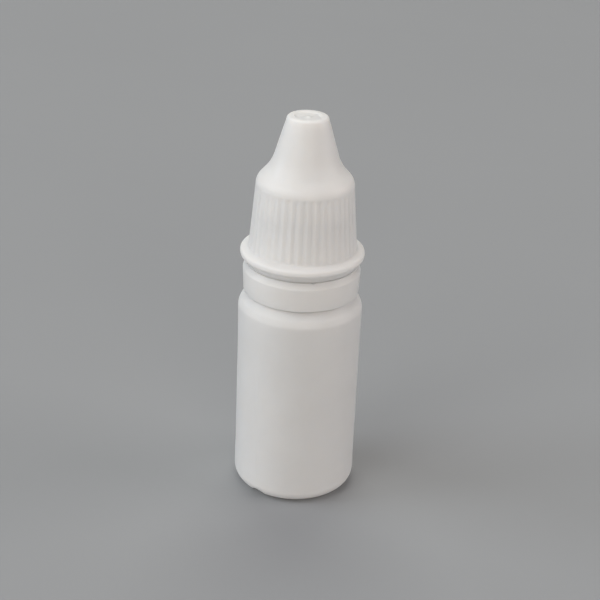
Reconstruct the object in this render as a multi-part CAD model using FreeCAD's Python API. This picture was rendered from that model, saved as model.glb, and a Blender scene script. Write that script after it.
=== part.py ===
"""Squeeze dropper bottle, 10 ml: blown bottle, push-in nozzle, screw cap and tamper ring.

Millimetres, +Z up, origin at the centre of the foot. The mould's parting plane is Y-Z,
and the notch in the heel is on -Y. The screw thread is right-handed.
"""
import FreeCAD
import Part

import math
import os

V = FreeCAD.Vector
UP = V(0, 0, 1)
CENTRE = V(0, 0, 0)

# ---- driving dimensions ------------------------------------------------------------
BODY_R = 11.0            # outside radius of the bottle
TOTAL_H = 69.9           # foot to cap top
WALL = 0.85              # blown wall of the bottle
NECK_TOP = 54.0          # top of the neck, where the nozzle's flange sits
NECK_R = 7.0             # neck wall between the thread turns
NECK_BORE_R = 5.75
SHOULDER_Z = 35.4        # where the straight wall and the shoulder would meet
SHOULDER_MID = (10.55, 36.5)  # where the shoulder's lower slope gives way to its upper one
SHOULDER_TOP = (9.25, 38.0)  # where the upper slope and the flat top would meet
PITCH = 2.8              # of the screw thread
RING_Z = (38.2, 43.45)   # bottom and top of the tamper ring
SKIRT_Z = 43.55          # bottom edge of the cap
FLANGE_Z = (44.8, 45.92)  # lower and upper edge of the cap's grip flange
FLANGE_R = 10.87
SKIRT_R = (9.49, 8.43)   # rib crests at the flange and at the cap's shoulder
CAP_SHOULDER_Z = 58.75   # where the skirt and the cap's shoulder slope would meet
CONE_FOOT = (5.97, 61.4)
CONE_TOP_R = 3.45
RIB_COUNT = 40
RIB_PHASE = 6.2          # degrees from +X to the first rib
BRIDGE_COUNT = 4
BRIDGE_PHASE = -28.5     # degrees from +X to the first bridge

# ---- bottle ------------------------------------------------------------------------
HEEL_R = 2.55
FOOT_R = 7.4             # inner edge of the flat foot
PUSH_UP = 0.9            # rise of the base's middle
FOOT_WALL = 1.5          # the base is thickest over its foot
PINCH_HALF = 6.2         # half length of the weld under the base
PINCH_W = 0.5
PINCH_H = 0.22
NOTCH_R = 1.65           # registration notch in the heel, a round cut along Y
NOTCH_H = 1.45
COLLAR_R = 7.6           # neck below the bead
BEAD_R = 8.8             # bead that keeps the tamper ring on
BEAD_Z = (41.8, 43.0)

# ---- screw thread ------------------------------------------------------------------
NECK_CREST_R = 7.75
CAP_BORE_R = 7.97
CAP_CREST_R = 7.25
THREAD_ROOT_W = 1.2      # width of a turn along the axis, at its root and its crest
THREAD_CREST_W = 0.6
THREAD_SINK = 0.15       # how far a turn's root is buried in its wall
THREAD_GAP = 0.12        # play between the flanks with the cap tight
NECK_THREAD_Z = 47.0     # centre of the neck's thread where it starts
NECK_TURNS = 1.75
CAP_TURNS = 1.6
RUN_OUT = 30.0           # degrees over which a thread's end grows from nothing
STEPS_PER_TURN = 24

# ---- nozzle ------------------------------------------------------------------------
NOZZLE_FOOT = 47.6       # lower edge of the plug
NOZZLE_FLANGE_R = 6.95
NOZZLE_FLANGE_T = 1.1
NOZZLE_TIP = 67.1
NOZZLE_TIP_R = 1.75
NOZZLE_BOSS_R = 4.6      # foot of the nozzle's cone
PLUG_R = 5.6
PLUG_BORE_R = 4.5
ORIFICE_R = 0.35
WELL_R = 0.95            # mouth of the drop-forming well in the tip

# ---- cap ---------------------------------------------------------------------------
BAND_R = 9.75            # the cap below its flange
COVE_Z = 46.45           # where the flange's top and the skirt would meet
RIB_R = 0.5              # ribs are round bars sunk into the skirt
RIB_H = 0.155
CAP_WALL = 1.1
DISH_R = 2.45            # shallow dish in the cap's top, and the gate mark in it
DISH_DEPTH = 0.28
GATE_R = 0.45
PIN_R = 0.6              # sealing pin inside the cap's tip


# ---- outlines ----------------------------------------------------------------------
def vec(point):
    """An outline's (r, z) as a point of the X-Z plane."""
    return V(point[0], 0, point[1])


def corner_arc(before, corner, after, radius):
    """Start, middle and end of the arc that rounds a corner of an outline."""
    b, c, a = vec(before), vec(corner), vec(after)
    to_before, to_after = (b - c).normalize(), (a - c).normalize()
    half = to_before.getAngle(to_after) / 2
    reach = radius / math.tan(half)
    bisector = (to_before + to_after).normalize()
    centre = c + bisector * (radius / math.sin(half))
    return c + to_before * reach, centre - bisector * radius, c + to_after * reach


def outline(points):
    """A closed wire in the X-Z plane through (r, z) or (r, z, corner radius)."""
    edges, count = [], len(points)
    stations = []
    for i, p in enumerate(points):
        if len(p) == 3:
            stations.append(corner_arc(points[i - 1], p, points[(i + 1) % count], p[2]))
        else:
            stations.append((vec(p),))
    for i, here in enumerate(stations):
        if len(here) == 3:
            edges.append(Part.Arc(*here).toShape())
        following = stations[(i + 1) % count][0]
        if here[-1].distanceToPoint(following) > 1e-6:
            edges.append(Part.LineSegment(here[-1], following).toShape())
    return Part.Wire(edges)


def revolve(points):
    """A solid of revolution about Z of a closed (r, z) outline."""
    solid = Part.Face(outline(points)).revolve(CENTRE, UP, 360)
    return Part.Solid(solid.Shells[0]) if solid.ShapeType != "Solid" else solid


def around(shape, count, first=0.0):
    """count copies of a shape, evenly spaced about Z."""
    copies = []
    for i in range(count):
        copy = shape.copy()
        copy.rotate(CENTRE, UP, first + 360.0 * i / count)
        copies.append(copy)
    return copies


def only_solid(shape):
    """The one solid of a boolean's result, with split faces joined again."""
    shape = shape.removeSplitter()
    if len(shape.Solids) != 1:
        raise ValueError(f"expected one solid, found {len(shape.Solids)}")
    return shape.Solids[0]


# ---- threads -----------------------------------------------------------------------
def thread_section(angle, z, root_r, crest_r, share):
    """One trapezium across a turn at an angle in degrees; share scales its height."""
    sink = THREAD_SINK if root_r < crest_r else -THREAD_SINK
    tip_r = root_r + (crest_r - root_r) * share
    crest_half = THREAD_ROOT_W / 2 + (THREAD_CREST_W - THREAD_ROOT_W) / 2 * share
    half = THREAD_ROOT_W / 2
    corners = [(root_r - sink, z - half), (tip_r, z - crest_half),
               (tip_r, z + crest_half), (root_r - sink, z + half)]
    turn = FreeCAD.Rotation(UP, angle)
    points = [turn.multVec(vec(c)) for c in corners]
    return Part.makePolygon(points + [points[0]])


def thread(root_r, crest_r, start_z, start_angle, turns):
    """A right-handed helical ridge whose two ends run out to nothing."""
    total = 360.0 * turns
    count = int(round(STEPS_PER_TURN * turns))
    sections = []
    for i in range(count + 1):
        angle = total * i / count
        from_end = min(angle, total - angle)
        share = 0.04 + 0.96 * min(1.0, from_end / RUN_OUT)
        z = start_z + PITCH * angle / 360.0
        sections.append(thread_section(start_angle + angle, z, root_r, crest_r, share))
    return Part.makeLoft(sections, True, False)


# ---- pieces ------------------------------------------------------------------------
def base_outline(drop):
    """The underside of the base from its middle to the foot, lowered by drop."""
    return [
        (0.0, PUSH_UP - drop),
        (3.0, PUSH_UP - drop, 3.0),
        (FOOT_R - 0.35, 0.18 - drop, 0.4),
    ]


def make_bottle():
    inner_r = BODY_R - WALL
    outside = [
        (FOOT_R, 0.0),
        (BODY_R, 0.0, HEEL_R),
        (BODY_R, SHOULDER_Z, 1.8),
        (*SHOULDER_MID, 2.0),
        (*SHOULDER_TOP, 1.0),
        (COLLAR_R, SHOULDER_TOP[1], 0.3),
        (COLLAR_R, BEAD_Z[0]),
        (BEAD_R, BEAD_Z[0] + 0.1, 0.15),
        (BEAD_R, BEAD_Z[0] + 0.45, 0.2),
        (NECK_R, BEAD_Z[1] + 0.1, 0.4),
        (NECK_R, NECK_TOP, 0.3),
        (NECK_BORE_R, NECK_TOP, 0.2),
    ]
    inside = [
        (NECK_BORE_R, SHOULDER_TOP[1] - WALL, 1.5),
        (SHOULDER_TOP[0] - 0.45, SHOULDER_TOP[1] - WALL, 0.8),
        (inner_r, SHOULDER_Z - 0.15, 1.6),
        (inner_r, FOOT_WALL, 1.9),
        (FOOT_R - 0.4, FOOT_WALL, 0.8),
        (2.0, PUSH_UP + 1.15),
        (0.0, PUSH_UP + 1.15),
    ]
    body = revolve(outside + inside + base_outline(0.0))
    neck_thread = thread(NECK_R, NECK_CREST_R, NECK_THREAD_Z, 0.0, NECK_TURNS)
    body = body.fuse([neck_thread, base_weld()])
    notch = Part.makeCylinder(NOTCH_R, BODY_R, V(0, -FOOT_R - 1.4, NOTCH_H - NOTCH_R),
                              V(0, -1, 0))
    return only_solid(body.cut(notch))


def base_weld():
    """The raised line across the base where the blown tube was pinched shut."""
    below = base_outline(PINCH_H) + [(FOOT_R - 0.35, 1.6), (0.0, 1.6)]
    bar = Part.makeBox(PINCH_W, 2 * PINCH_HALF, 2.0, V(-PINCH_W / 2, -PINCH_HALF, 0.04))
    return revolve(below).common(bar)


def make_nozzle():
    flange_top = NECK_TOP + NOZZLE_FLANGE_T
    body = revolve([
        (PLUG_BORE_R + 0.25, NOZZLE_FOOT),
        (PLUG_R - 0.3, NOZZLE_FOOT),
        (PLUG_R, NOZZLE_FOOT + 1.0),
        (PLUG_R, NECK_TOP),
        (NOZZLE_FLANGE_R, NECK_TOP, 0.15),
        (NOZZLE_FLANGE_R, flange_top, 0.4),
        (NOZZLE_BOSS_R, flange_top, 0.5),
        (NOZZLE_BOSS_R - 0.35, flange_top + 1.6, 1.0),
        (NOZZLE_TIP_R + 0.55, NOZZLE_TIP - 3.2, 2.0),
        (NOZZLE_TIP_R, NOZZLE_TIP, 0.35),
        (WELL_R, NOZZLE_TIP, 0.1),
        (WELL_R - 0.2, NOZZLE_TIP - 1.6),
        (ORIFICE_R, NOZZLE_TIP - 2.0),
        (ORIFICE_R, NOZZLE_TIP - 3.2),
        (1.15, NOZZLE_TIP - 4.4, 0.5),
        (3.1, flange_top + 1.4, 1.5),
        (PLUG_BORE_R, NECK_TOP - 0.8, 1.0),
    ])
    ribs = []
    for i in range(3):
        z = NOZZLE_FOOT + 2.0 + 1.6 * i
        ribs.append(revolve([(PLUG_R - 0.2, z - 0.45), (PLUG_R - 0.02, z - 0.45),
                             (NECK_BORE_R, z - 0.1), (NECK_BORE_R, z + 0.1),
                             (PLUG_R - 0.02, z + 0.45), (PLUG_R - 0.2, z + 0.45)]))
    return only_solid(body.fuse(ribs))


def skirt_radius(z):
    """Radius of the rib crests at a height on the cap's skirt."""
    share = (z - FLANGE_Z[1]) / (CAP_SHOULDER_Z - FLANGE_Z[1])
    return SKIRT_R[0] + (SKIRT_R[1] - SKIRT_R[0]) * share


def make_cap():
    floor_low = FLANGE_Z[1] + 0.2
    ledge_z = CAP_SHOULDER_Z - 0.95
    outside = [
        (BAND_R, SKIRT_Z, 0.06),
        (BAND_R + 0.05, FLANGE_Z[0] - 0.05, 0.25),
        (FLANGE_R, FLANGE_Z[0], 0.4),
        (FLANGE_R, FLANGE_Z[1], 0.5),
        (skirt_radius(COVE_Z) - RIB_H, COVE_Z, 0.7),
        (skirt_radius(ledge_z) - RIB_H, ledge_z - 0.75, 0.4),
        (skirt_radius(ledge_z), ledge_z),
        (skirt_radius(CAP_SHOULDER_Z), CAP_SHOULDER_Z, 2.5),
        (*CONE_FOOT, 7.5),
        (CONE_TOP_R, TOTAL_H, 0.55),
        (DISH_R, TOTAL_H, 0.15),
        (DISH_R - 0.35, TOTAL_H - DISH_DEPTH, 0.3),
        (GATE_R, TOTAL_H - DISH_DEPTH),
        (GATE_R - 0.15, TOTAL_H - DISH_DEPTH + 0.18),
        (0.0, TOTAL_H - DISH_DEPTH + 0.18),
    ]
    ceiling = TOTAL_H - DISH_DEPTH - 1.1
    seat_z = NECK_TOP + NOZZLE_FLANGE_T + 0.12
    inside = [
        (0.0, NOZZLE_TIP - 1.3),
        (PIN_R - 0.15, NOZZLE_TIP - 1.3, 0.1),
        (PIN_R + 0.25, ceiling),
        (CONE_TOP_R - CAP_WALL, ceiling, 0.3),
        (CONE_FOOT[0] - CAP_WALL, CONE_FOOT[1] - 0.9, 1.8),
        (6.45, 58.85, 0.2),
        (6.25, seat_z),
        (6.75, seat_z),
        (6.95, 57.6, 0.15),
        (7.25, 57.3, 0.2),
        (7.3, 53.9),
        (CAP_BORE_R, 53.3),
        (CAP_BORE_R, 46.2),
        (8.45, 45.4),
        (8.55, SKIRT_Z, 0.2),
    ]
    shell = revolve(outside + inside)
    gap = (THREAD_ROOT_W + THREAD_CREST_W) / 2 + THREAD_GAP
    cap_thread = thread(CAP_BORE_R, CAP_CREST_R, NECK_THREAD_Z + PITCH * 0.35 - gap, 126.0,
                        CAP_TURNS)
    low = V(skirt_radius(floor_low) - RIB_R, 0, floor_low)
    high_z = ledge_z + 0.25
    high = V(skirt_radius(high_z) - RIB_R - 0.03, 0, high_z)
    rib = Part.makeCylinder(RIB_R, low.distanceToPoint(high), low, high - low)
    return only_solid(shell.fuse(around(rib, RIB_COUNT, RIB_PHASE) + [cap_thread]))


def make_ring():
    low, high = RING_Z
    band = revolve([
        (9.25, low, 0.1),
        (10.15, low, 0.2),
        (10.35, high - 1.13, 0.5),
        (BAND_R, high, 0.06),
        (9.05, high),
        (9.05, BEAD_Z[0] - 0.1),
        (8.1, BEAD_Z[0] - 0.45, 0.15),
        (8.0, BEAD_Z[0] - 1.2, 0.2),
        (9.05, low + 1.1, 0.3),
    ])
    bridge = Part.makeBox(0.5, 2.6, SKIRT_Z - 0.05 - high + 0.3, V(9.15, -1.3, high - 0.3))
    nick = Part.makeCylinder(0.45, 1.5, V(9.35, -1.9, high + 0.28), V(1, 0, 0))
    bridges = around(bridge, BRIDGE_COUNT, BRIDGE_PHASE)
    nicks = around(nick, BRIDGE_COUNT, BRIDGE_PHASE)
    return only_solid(band.fuse(bridges).cut(Part.makeCompound(nicks)))


PIECES = {
    "bottle_body": make_bottle,
    "dropper_nozzle": make_nozzle,
    "screw_cap": make_cap,
    "tamper_ring": make_ring,
}


def main():
    os.makedirs("parts", exist_ok=True)
    for name, make in PIECES.items():
        shape = make()
        if not shape.isValid() or not shape.isClosed():
            raise ValueError(f"{name} is not a valid closed solid")
        shape.exportStep(f"parts/{name}.step")
        box = shape.BoundBox
        print(f"{name}: {shape.Volume / 1000:.3f} cm3, {len(shape.Faces)} faces, "
              f"z {box.ZMin:.2f} to {box.ZMax:.2f}, r {box.XMax:.2f}")


main()
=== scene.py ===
"""Looks of a white plastic squeeze dropper bottle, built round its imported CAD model.

The four CAD nodes are replaced by finer turned meshes of the same outlines, with the ribs,
screw threads, tear-off bridges, heel notch and mould lines as real relief. Lengths in the
outlines are millimetres in the CAD model's own frame; meshes are written in metres.
"""
import math

import bmesh
import bpy
import numpy as np
from mathutils import Matrix, Vector


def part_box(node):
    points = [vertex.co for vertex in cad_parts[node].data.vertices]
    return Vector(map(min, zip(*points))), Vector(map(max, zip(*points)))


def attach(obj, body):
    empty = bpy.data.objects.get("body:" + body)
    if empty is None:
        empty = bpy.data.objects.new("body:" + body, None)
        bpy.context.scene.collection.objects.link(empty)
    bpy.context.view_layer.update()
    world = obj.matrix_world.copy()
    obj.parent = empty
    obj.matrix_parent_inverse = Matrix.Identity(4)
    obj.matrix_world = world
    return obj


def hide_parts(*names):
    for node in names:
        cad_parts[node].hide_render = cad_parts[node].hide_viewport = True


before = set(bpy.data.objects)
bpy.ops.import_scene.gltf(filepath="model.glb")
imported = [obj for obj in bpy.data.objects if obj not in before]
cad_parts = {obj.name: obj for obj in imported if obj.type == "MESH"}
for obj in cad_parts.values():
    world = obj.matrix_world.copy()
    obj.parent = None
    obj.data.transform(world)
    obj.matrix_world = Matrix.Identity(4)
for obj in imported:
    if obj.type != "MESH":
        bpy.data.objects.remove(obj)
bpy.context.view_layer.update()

MM = 0.001

# ---- camera -----------------------------------------------------------------------------
AZIMUTH, ELEVATION, ROLL = map(math.radians, (38.0, 25.0, 2.45))
DISTANCE = 0.2462                                 # metres from the point aimed at
FOCAL = 2.311                                     # focal length as a share of image width
SENSOR = 36.0
AIM_SIDE, AIM_UP = -0.000057, 0.035811            # the point aimed at, from the foot's centre


# ---- outlines ---------------------------------------------------------------------------
def rounded(points, closed=False, step=9.0):
    """Corners (r, z), (r, z, radius) or (r, z, radius, step in degrees) as (r, z) points."""
    out, count = [], len(points)
    for i, p in enumerate(points):
        if len(p) == 2 or not closed and i in (0, count - 1):
            out.append((p[0], p[1]))
            continue
        radius, turn = p[2], p[3] if len(p) > 3 else step
        corner = np.array(p[:2])
        before = np.array(points[i - 1][:2]) - corner
        after = np.array(points[(i + 1) % count][:2]) - corner
        before /= np.linalg.norm(before)
        after /= np.linalg.norm(after)
        half = math.acos(max(-1.0, min(1.0, float(before @ after)))) / 2
        reach = radius / math.tan(half)
        inward = (before + after) / np.linalg.norm(before + after)
        centre = corner + inward * radius / math.sin(half)
        first, last = corner + before * reach - centre, corner + after * reach - centre
        start = math.atan2(first[1], first[0])
        sweep = (math.atan2(last[1], last[0]) - start + math.pi) % math.tau - math.pi
        pieces = max(2, math.ceil(abs(math.degrees(sweep)) / turn))
        for k in range(pieces + 1):
            t = start + sweep * k / pieces
            out.append((centre[0] + radius * math.cos(t), centre[1] + radius * math.sin(t)))
    return out


def refined(points, step, closed=False):
    """The outline with its straight stretches divided; step(r, z) is the longest piece."""
    out = []
    for a, b in zip(points, points[1:] + (points[:1] if closed else [])):
        length = math.dist(a, b)
        if length < 0.002:
            continue
        pieces = max(1, math.ceil(length / step((a[0] + b[0]) / 2, (a[1] + b[1]) / 2)))
        out += [(a[0] + (b[0] - a[0]) * k / pieces, a[1] + (b[1] - a[1]) * k / pieces)
                for k in range(pieces)]
    return out if closed else out + [points[-1]]


def even(count, clusters=()):
    """count even angles in degrees, and extra ones (centre, half width, step) for detail."""
    angles = list(np.arange(count) * 360.0 / count)
    for centre, half, step in clusters:
        angles = [a for a in angles if abs((a - centre + 180) % 360 - 180) > half + step / 2]
        angles += [(centre + t) % 360 for t in np.arange(-half, half + step / 2, step)]
    return sorted(angles)


def turned(name, outline, angles, relief=None, closed=False):
    """A closed mesh of revolution; relief(r, z, angle) moves its grid of points."""
    r, z = (np.array([p[k] for p in outline])[:, None] for k in (0, 1))
    r, z, a = np.broadcast_arrays(r, z, np.radians(angles)[None, :])
    if relief:
        r, z = relief(r.copy(), z.copy(), a)
    rows, columns = r.shape
    points = np.stack([r * np.cos(a), r * np.sin(a), z], axis=2) * MM
    index = np.arange(rows * columns).reshape(rows, columns)
    lower, upper = (index, np.roll(index, -1, 0)) if closed else (index[1:-2], index[2:-1])
    quads = np.stack([lower, np.roll(lower, -1, 1), np.roll(upper, -1, 1), upper], axis=2)
    faces = quads.reshape(-1, 4).tolist()
    if not closed:
        faces += fan(index[1][::-1], index[0, 0]) + fan(index[-2], index[-1, 0])
    mesh = bpy.data.meshes.new(name)
    mesh.from_pydata(points.reshape(-1, 3).tolist(), [], faces)
    bm = bmesh.new()
    bm.from_mesh(mesh)
    bmesh.ops.delete(bm, geom=[v for v in bm.verts if not v.link_faces], context="VERTS")
    bm.to_mesh(mesh)
    bm.free()
    mesh.shade_smooth()
    piece = bpy.data.objects.new(name, mesh)
    bpy.context.collection.objects.link(piece)
    return piece


def fan(ring, centre):
    """Triangles from a ring of points to the one point on the axis."""
    return [(int(centre), int(a), int(b)) for a, b in zip(ring, np.roll(ring, -1))]


def smooth(x):
    """0 below 0, 1 above 1, and an S-curve between."""
    x = np.clip(x, 0.0, 1.0)
    return x * x * (3.0 - 2.0 * x)


def off(angle, centre):
    """Signed angle in radians from a direction given in degrees."""
    return (angle - math.radians(centre) + math.pi) % math.tau - math.pi


# ---- sizes in mm, the CAD model's ---------------------------------------------------------
def heights(node):
    """A CAD node's lowest and highest z in mm."""
    low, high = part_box(node)
    return low[2] / MM, high[2] / MM


NECK_TOP = heights("bottle_body")[1]
RING_LOW, BRIDGE_TOP = heights("tamper_ring")
CAP_LOW, CAP_TOP = heights("screw_cap")
PLUG_LOW, TIP_Z = heights("dropper_nozzle")

BODY_R, WALL, SHOULDER_Z, SHOULDER_TOP = 11.0, 0.85, 35.4, 38.0
SHOULDER_MID = (10.55, 36.5)                      # between the shoulder's two slopes
FOOT_R, HEEL_R, PUSH_UP = 7.4, 2.55, 0.9
NECK_R, NECK_BORE_R, COLLAR_R, BEAD_R = 7.0, 5.75, 7.6, 8.8
PITCH, THREAD_Z, NECK_TURNS, CAP_TURNS = 2.8, 47.0, 1.75, 1.6
NECK_RIDGE, CAP_RIDGE = 0.75, 0.72                # heights of the two threads
CAP_BORE_R, CAP_THREAD_DROP, CAP_THREAD_TURN = 7.97, 1.02, 126.0
RING_TOP = CAP_LOW - 0.1
RING_R, RING_BORE_R = 10.35, 9.05
FLANGE_LOW, FLANGE_TOP, FLANGE_R, BAND_R = 44.8, 45.92, 10.87, 9.75
SKIRT_LOW_R, SKIRT_HIGH_R, COVE_Z, CAP_SHOULDER_Z = 9.49, 8.43, 46.45, 58.75
CONE_FOOT, CONE_TOP_R = (5.97, 61.4), 3.45
DISH_R, DISH_Z, GATE_R = 2.45, CAP_TOP - 0.28, 0.45
RIBS, RIB_PHASE, RIB_H, RIB_TOP = 40, 6.2, 0.155, 57.8
BRIDGES, BRIDGE_PHASE, BRIDGE_HALF, BRIDGE_R = 4, -28.5, 1.36, 9.62
NICK_R, NICK_AT, NICK_RISE = 0.45, -1.9, 0.28     # round cuts beside the bridges
NOTCH_AT = -90.0                                  # the heel's notch is on -Y
NOTCH_R, NOTCH_H, NOTCH_FROM = 1.65, 1.45, 8.8


def ridge(angle, z, start_z, start_deg, turns):
    """0 to 1: the height of a right-handed thread whose ends run out over 30 degrees."""
    height = np.zeros(z.shape)
    for turn in range(math.ceil(turns)):
        along = (angle - math.radians(start_deg)) % math.tau + turn * math.tau
        away = np.abs(z - start_z - PITCH * along / math.tau)
        end = smooth(np.minimum(along, turns * math.tau - along) / math.radians(30))
        height = np.maximum(height, smooth((0.62 - away) / 0.36) * end)
    return height


# ---- bottle -------------------------------------------------------------------------------
BOTTLE = [
    (0.0, PUSH_UP), (3.0, PUSH_UP, 3.0), (FOOT_R - 0.35, 0.18, 0.4), (FOOT_R, 0.0),
    (BODY_R, 0.0, HEEL_R, 3.0), (BODY_R, SHOULDER_Z, 1.8, 3.0), (*SHOULDER_MID, 2.0, 3.0),
    (9.25, SHOULDER_TOP, 1.0, 5.0), (COLLAR_R, SHOULDER_TOP, 0.3),
    (COLLAR_R, 41.8, 0.15), (BEAD_R, 41.9, 0.15),
    (BEAD_R, 42.25, 0.2), (NECK_R, 43.1, 0.4), (NECK_R, NECK_TOP, 0.3),
    (NECK_BORE_R, NECK_TOP, 0.2), (NECK_BORE_R, SHOULDER_TOP - WALL, 1.5),
    (8.8, SHOULDER_TOP - WALL, 0.8), (BODY_R - WALL, SHOULDER_Z - 0.15, 1.6),
    (BODY_R - WALL, 1.5, 1.9),
    (FOOT_R - 0.4, 1.5, 0.8), (2.0, 2.05), (0.0, 2.05),
]


def bottle_step(r, z):
    """Short steps where there is relief and long ones on plain stretches."""
    if 45.5 < z < 53.5 and r > 6.5:
        return 0.085
    return 0.4 if z < 3.0 else 1.3


def bottle_relief(r, z, a):
    """Thread, mould lines, heel notch, base weld and the blown wall's slight unevenness."""
    outside = (np.arange(len(z)) < np.argmax(z[:, 0]))[:, None]
    neck = outside & (np.abs(r - NECK_R) < 0.02)
    wall = outside & (r > BODY_R - 0.6)
    share = smooth((z - 2.0) / 8.0) * smooth((SHOULDER_Z - z) / 8.0)
    uneven = (0.020 * np.sin(2 * a + 0.7) + 0.012 * np.sin(3 * a + z * 0.16)
              + 0.010 * np.sin(z * 0.33 + 2.0 * np.cos(a)))
    r = r - np.where(wall, share * (0.042 + uneven), 0.0)
    seam = np.minimum(np.abs(off(a, 90)), np.abs(off(a, -90))) * r
    seam = np.exp(-(seam / 0.11) ** 2) * smooth((z - 0.6) / 1.0)
    r = np.where(outside & (z < SHOULDER_TOP), np.minimum(r + 0.02 * seam, BODY_R), r)
    r = r + np.where(neck, NECK_RIDGE * ridge(a, z, THREAD_Z, 0.0, NECK_TURNS), 0.0)
    x, y = r * np.cos(a), r * np.sin(a)
    roof = NOTCH_H - NOTCH_R + np.sqrt(np.maximum(NOTCH_R ** 2 - x * x, 0.0))
    notch = outside & (y < -NOTCH_FROM) & (np.abs(x) < NOTCH_R) & (z < roof)
    z = np.where(notch, roof, z)
    weld = smooth((0.32 - np.abs(x)) / 0.14) * smooth((6.6 - r) / 0.6) * smooth(z / 0.25)
    z = z - np.where(outside & (z < 1.0) & (r < FOOT_R - 0.3), 0.2 * weld, 0.0)
    return r, z


def make_bottle():
    angles = even(192, [(NOTCH_AT, 12.0, 0.6), (NOTCH_AT, 0.9, 0.3), (90.0, 0.9, 0.3)])
    return turned("Bottle", refined(rounded(BOTTLE), bottle_step), angles, bottle_relief)


# ---- cap ----------------------------------------------------------------------------------
def crest(z):
    """Radius of the rib crests at a height on the skirt."""
    share = (z - FLANGE_TOP) / (CAP_SHOULDER_Z - FLANGE_TOP)
    return SKIRT_LOW_R + (SKIRT_HIGH_R - SKIRT_LOW_R) * share


PIN_Z, CEILING = TIP_Z - 1.3, CAP_TOP - 1.38      # sealing pin's end and the ceiling round it

CAP = [
    (0.0, PIN_Z), (0.45, PIN_Z, 0.1), (0.85, CEILING),
    (2.35, CEILING, 0.3), (4.87, 60.5, 1.8), (6.45, 58.85, 0.2),
    (6.25, 55.22), (6.75, 55.22), (6.95, 57.6, 0.15), (7.25, 57.3, 0.2), (7.3, 53.9),
    (CAP_BORE_R, 53.3), (CAP_BORE_R, 46.2), (8.45, 45.4), (8.55, CAP_LOW, 0.2),
    (BAND_R, CAP_LOW, 0.06), (BAND_R + 0.05, FLANGE_LOW - 0.05, 0.25), (FLANGE_R, FLANGE_LOW, 0.4),
    (FLANGE_R, FLANGE_TOP, 0.5), (crest(COVE_Z) - RIB_H, COVE_Z, 0.7),
    (crest(RIB_TOP) - RIB_H, RIB_TOP - 0.75, 0.4), (crest(RIB_TOP), RIB_TOP),
    (SKIRT_HIGH_R, CAP_SHOULDER_Z, 2.5, 4.0), (*CONE_FOOT, 7.5, 2.0), (CONE_TOP_R, CAP_TOP, 0.55),
    (DISH_R, CAP_TOP, 0.15), (DISH_R - 0.35, DISH_Z, 0.3), (GATE_R, DISH_Z),
    (GATE_R - 0.15, DISH_Z + 0.18), (0.0, DISH_Z + 0.18),
]


def cap_step(r, z):
    """Short steps along the thread and where the ribs start and end."""
    if 45.8 < z < 53.3 and r < 8.3:
        return 0.11
    return 0.12 if 46.1 < z < 47.2 or 57.0 < z < 58.2 else 0.8


def cap_relief(r, z, a):
    """Grip ribs outside and the thread inside."""
    outside = (np.arange(len(z)) > np.argmin(z[:, 0]))[:, None]
    bore = ~outside & (np.abs(r - CAP_BORE_R) < 0.02)
    lift = ridge(a, z, THREAD_Z + PITCH * CAP_THREAD_TURN / 360 - CAP_THREAD_DROP,
                 CAP_THREAD_TURN, CAP_TURNS)
    wave = 0.5 + 0.5 * np.cos(RIBS * off(a, RIB_PHASE))
    rib = crest(z) - RIB_H * (1.0 - wave)
    blend = 0.5 * (r + rib + np.sqrt((r - rib) ** 2 + 0.05 ** 2))
    ribbed = outside & (z > 46.2) & (z < RIB_TOP + 0.3)
    r = np.where(ribbed, np.minimum(blend, np.maximum(r, crest(z))), r)
    return r - np.where(bore, CAP_RIDGE * lift, 0.0), z


def make_cap():
    return turned("Cap", refined(rounded(CAP), cap_step), even(320), cap_relief)


# ---- tamper ring --------------------------------------------------------------------------
RING = [
    (9.25, RING_LOW, 0.1), (10.15, RING_LOW, 0.2), (RING_R, RING_TOP - 1.13, 0.5),
    (BAND_R, RING_TOP, 0.06), (BRIDGE_R, RING_TOP), (RING_BORE_R, RING_TOP),
    (RING_BORE_R, 41.7), (8.1, 41.35, 0.15), (8.0, 40.6, 0.2), (RING_BORE_R, 39.3, 0.3),
]


def ring_step(r, z):
    """Short steps over the top edge, where the bridges and nicks are."""
    return 0.15 if z > RING_TOP - 0.7 and r > 9.1 else 1.4


def ring_relief(r, z, a):
    """Tear-off bridges on the ring's top edge, each with a nick beside it."""
    for k in range(BRIDGES):
        turn = off(a, BRIDGE_PHASE + 360.0 * k / BRIDGES)
        across = r * np.sin(turn)
        near = np.cos(turn) > 0.5
        on_top = near & (z > RING_TOP - 0.01) & (r < BRIDGE_R + 0.01) & (r > RING_BORE_R + 0.05)
        rise = (BRIDGE_TOP - RING_TOP) * smooth((BRIDGE_HALF - np.abs(across)) / 0.12)
        z = np.where(on_top, z + rise, z)
        into = NICK_R ** 2 - (across - NICK_AT) ** 2
        floor = RING_TOP + NICK_RISE - np.sqrt(np.maximum(into, 0.0))
        z = np.where(near & (into > 0) & (z > floor) & (r > 9.35), floor, z)
    return r, z


def make_ring():
    clusters = [(BRIDGE_PHASE + 360.0 * k / BRIDGES - 2.4, 12.6, 0.45) for k in range(BRIDGES)]
    outline = refined(rounded(RING, True), ring_step, True)
    return turned("TamperRing", outline, even(180, clusters), ring_relief, closed=True)


# ---- nozzle -------------------------------------------------------------------------------
def plug_ribs():
    """The three sealing ribs round the plug, from the lowest up."""
    out = []
    for z in (PLUG_LOW + 2.0, PLUG_LOW + 3.6, PLUG_LOW + 5.2):
        out += [(5.58, z - 0.45), (5.74, z - 0.1), (5.74, z + 0.1), (5.58, z + 0.45)]
    return out


RIM_R, RIM_TOP = 6.95, NECK_TOP + 1.1             # flange that rests on the neck
TIP_R, WELL_R, ORIFICE_R = 1.75, 0.95, 0.35

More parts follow.
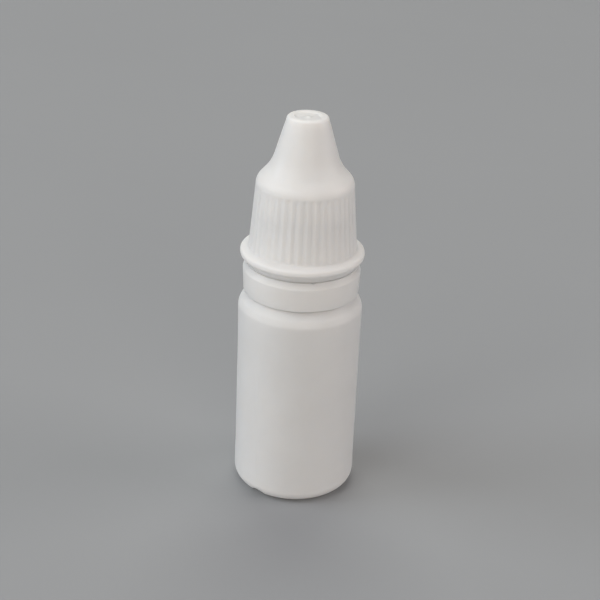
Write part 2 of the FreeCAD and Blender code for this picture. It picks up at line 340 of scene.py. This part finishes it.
NOZZLE = [
    (4.75, PLUG_LOW), (5.3, PLUG_LOW), (5.58, PLUG_LOW + 1.0), *plug_ribs(), (5.6, NECK_TOP),
    (RIM_R, NECK_TOP, 0.15), (RIM_R, RIM_TOP, 0.4), (4.6, RIM_TOP, 0.5),
    (4.25, RIM_TOP + 1.6, 1.0), (2.3, TIP_Z - 3.2, 2.0), (TIP_R, TIP_Z, 0.35),
    (WELL_R, TIP_Z, 0.1), (0.75, TIP_Z - 1.6), (ORIFICE_R, TIP_Z - 2.0),
    (ORIFICE_R, TIP_Z - 3.2), (1.15, TIP_Z - 4.4, 0.5), (3.1, NECK_TOP + 2.5, 1.5),
    (4.5, NECK_TOP - 0.8, 1.0),
]


def make_nozzle():
    outline = refined(rounded(NOZZLE, True), lambda r, z: 0.9, True)
    return turned("Nozzle", outline, even(128), closed=True)


# ---- materials ----------------------------------------------------------------------------
class Nodes:
    """Short calls for building one material's node tree."""

    def __init__(self, name):
        self.material = bpy.data.materials.new(name)
        self.material.use_nodes = True
        self.tree = self.material.node_tree
        self.shader = self.tree.nodes["Principled BSDF"]
        self.place = self.add("ShaderNodeTexCoord").outputs["Object"]

    def add(self, kind, **settings):
        node = self.tree.nodes.new(kind)
        for key, value in settings.items():
            setattr(node, key, value)
        return node

    def link(self, output, socket):
        self.tree.links.new(output, socket)

    def noise(self, scale, detail=3.0, roughness=0.5):
        """Noise in object space; scale is features per metre."""
        node = self.add("ShaderNodeTexNoise")
        node.inputs["Scale"].default_value = scale
        node.inputs["Detail"].default_value = detail
        node.inputs["Roughness"].default_value = roughness
        self.link(self.place, node.inputs["Vector"])
        return node.outputs["Fac"]

    def ramp(self, value, low, high, to_low, to_high):
        """A value from low to high, spread from to_low to to_high."""
        node = self.add("ShaderNodeMapRange")
        for key, number in (("From Min", low), ("From Max", high),
                            ("To Min", to_low), ("To Max", to_high)):
            node.inputs[key].default_value = number
        self.link(value, node.inputs["Value"])
        return node.outputs["Result"]

    def mix(self, share, first, second):
        """A colour between two others, each a colour or another node's output."""
        node = self.add("ShaderNodeMix", data_type="RGBA")
        for socket, value in zip((node.inputs[6], node.inputs[7]), (first, second)):
            if isinstance(value, tuple):
                socket.default_value = (*value, 1.0)
            else:
                self.link(value, socket)
        self.link(share, node.inputs["Factor"])
        return node.outputs[2]

    def bump(self, height, distance, strength=1.0, under=None):
        node = self.add("ShaderNodeBump")
        node.inputs["Distance"].default_value = distance
        node.inputs["Strength"].default_value = strength
        self.link(height, node.inputs["Height"])
        if under:
            self.link(under, node.inputs["Normal"])
        return node.outputs["Normal"]


def white_plastic(name, colour, shade, rough, grain, glow_size):
    """Satin white polyolefin: soft inner scatter, fine mould grain and faint cloudiness."""
    n = Nodes(name)
    cloud = n.ramp(n.noise(120.0, 2.0), 0.35, 0.65, 0.0, 1.0)
    fleck = n.ramp(n.noise(1400.0, 4.0, 0.65), 0.66, 0.78, 0.0, 0.35)
    toned = n.mix(cloud, colour, shade)
    dust = tuple(c * 0.86 for c in shade)
    n.link(n.mix(fleck, toned, dust), n.shader.inputs["Base Color"])
    patchy = n.noise(260.0, 4.0, 0.6)
    n.link(n.ramp(patchy, 0.3, 0.7, rough - 0.05, rough + 0.07), n.shader.inputs["Roughness"])
    broad = n.bump(n.noise(150.0, 2.0), 0.00012, 0.35)
    fine = n.bump(n.noise(grain, 5.0, 0.6), 0.00003, 0.45, broad)
    n.link(fine, n.shader.inputs["Normal"])
    n.shader.inputs["Subsurface Weight"].default_value = 1.0
    n.shader.inputs["Subsurface Radius"].default_value = (1.0, 0.95, 0.90)
    n.shader.inputs["Subsurface Scale"].default_value = glow_size
    n.shader.inputs["IOR"].default_value = 1.5
    n.shader.inputs["Specular IOR Level"].default_value = 0.45
    return n.material


FLOOR_LIGHT, FLOOR_DARK = (0.355, 0.365, 0.380), (0.347, 0.357, 0.372)


def floor_card():
    """Pale matt paper for the floor."""
    n = Nodes("PaleFloor")
    mottled = n.ramp(n.noise(9.0, 3.0), 0.3, 0.7, 0.0, 1.0)
    n.link(n.mix(mottled, FLOOR_LIGHT, FLOOR_DARK), n.shader.inputs["Base Color"])
    n.link(n.bump(n.noise(900.0, 3.0), 0.0001, 0.2), n.shader.inputs["Normal"])
    n.shader.inputs["Roughness"].default_value = 0.85
    n.shader.inputs["Specular IOR Level"].default_value = 0.2
    return n.material


# ---- the object ---------------------------------------------------------------------------
LDPE = white_plastic(
    "BottleLDPE", (0.88, 0.875, 0.865), (0.86, 0.855, 0.845), 0.44, 2600.0, 0.0022)
HDPE = white_plastic(
    "CapHDPE", (0.88, 0.875, 0.865), (0.86, 0.855, 0.845), 0.40, 3400.0, 0.0020)
RING_HDPE = white_plastic(
    "RingHDPE", (0.855, 0.85, 0.84), (0.835, 0.83, 0.82), 0.42, 3400.0, 0.0020)
CLEAR_LDPE = white_plastic(
    "NozzleLDPE", (0.85, 0.86, 0.855), (0.82, 0.83, 0.825), 0.34, 2200.0, 0.0030)

for made, node, body, slot, material in (
    (make_bottle(), "bottle_body", "bottle", "bottle", LDPE),
    (make_nozzle(), "dropper_nozzle", "bottle", "nozzle", CLEAR_LDPE),
    (make_cap(), "screw_cap", "cap", "cap", HDPE),
    (make_ring(), "tamper_ring", "ring", "ring", RING_HDPE),
):
    made.data.materials.append(material)
    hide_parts(node)
    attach(made, body)

# ---- camera, floor and lights ---------------------------------------------------------------
BACK = Vector((math.sin(AZIMUTH) * math.cos(ELEVATION), -math.cos(AZIMUTH) * math.cos(ELEVATION),
               math.sin(ELEVATION)))
SIDE = Vector((math.cos(AZIMUTH), math.sin(AZIMUTH), 0.0))
FRONT = Vector((math.sin(AZIMUTH), -math.cos(AZIMUTH), 0.0))
OVER = Vector((0.0, 0.0, 1.0))
MIDDLE = Vector((0.0, 0.0, 0.035))                # where the lights point, in metres
LIGHT_SIZE, LIGHT_AWAY = 2.1, 3.3
FLOOR_HALF = 15.0


def make_camera():
    camera = bpy.data.objects.new("Camera", bpy.data.cameras.new("Camera"))
    bpy.context.collection.objects.link(camera)
    camera.data.sensor_width = SENSOR
    camera.data.lens = FOCAL * SENSOR
    camera.data.clip_start, camera.data.clip_end = 0.01, 50.0
    up = BACK.cross(SIDE)
    right = SIDE * math.cos(ROLL) + up * math.sin(ROLL)
    turned_up = up * math.cos(ROLL) - SIDE * math.sin(ROLL)
    aim = SIDE * AIM_SIDE + OVER * AIM_UP
    basis = Matrix((right, turned_up, BACK)).transposed().to_4x4()
    camera.matrix_world = Matrix.Translation(aim + BACK * DISTANCE) @ basis
    bpy.context.scene.camera = camera


def soft_light(name, bearing, height, power, colour):
    """A large soft square light at a bearing from the camera's side (right is plus), in degrees."""
    light = bpy.data.lights.new(name, "AREA")
    light.shape, light.size = "SQUARE", LIGHT_SIZE
    light.energy, light.color = power, colour
    lamp = bpy.data.objects.new(name, light)
    bpy.context.collection.objects.link(lamp)
    bearing, height = math.radians(bearing), math.radians(height)
    level = SIDE * math.sin(bearing) + FRONT * math.cos(bearing)
    lamp.location = MIDDLE + (level * math.cos(height) + OVER * math.sin(height)) * LIGHT_AWAY
    lamp.rotation_euler = (MIDDLE - lamp.location).to_track_quat("-Z", "Y").to_euler()


def make_floor():
    bm = bmesh.new()
    bmesh.ops.create_grid(bm, x_segments=24, y_segments=24, size=FLOOR_HALF)
    mesh = bpy.data.meshes.new("Floor")
    bm.to_mesh(mesh)
    bm.free()
    floor = bpy.data.objects.new("Floor", mesh)
    bpy.context.collection.objects.link(floor)
    mesh.materials.append(floor_card())


def make_world():
    """A dim, slightly warm room."""
    world = bpy.data.worlds.new("Studio")
    bpy.context.scene.world = world
    world.use_nodes = True
    background = world.node_tree.nodes["Background"]
    background.inputs["Color"].default_value = (1.0, 0.90, 0.86, 1.0)
    background.inputs["Strength"].default_value = 0.063


make_camera()
make_floor()
make_world()
for name, bearing, height, power, colour in (
    ("WindowLeft", -90.0, 25.0, 35.0, (0.89, 0.94, 1.0)),
    ("WindowHigh", -60.0, 55.0, 24.0, (0.95, 1.0, 0.99)),
    ("FrontLeft", -35.0, 22.0, 26.0, (1.0, 0.95, 0.89)),
    ("FrontLow", 10.0, 15.0, 28.0, (1.0, 0.89, 0.79)),
    ("RightSide", 90.0, 20.0, 35.0, (1.0, 0.95, 0.93)),
    ("Overhead", 0.0, 88.0, 12.0, (1.0, 0.93, 0.97)),
    ("Behind", 180.0, 55.0, 36.0, (1.0, 1.0, 0.92)),
):
    soft_light(name, bearing, height, power, colour)
bpy.context.scene.view_settings.view_transform = "Standard"
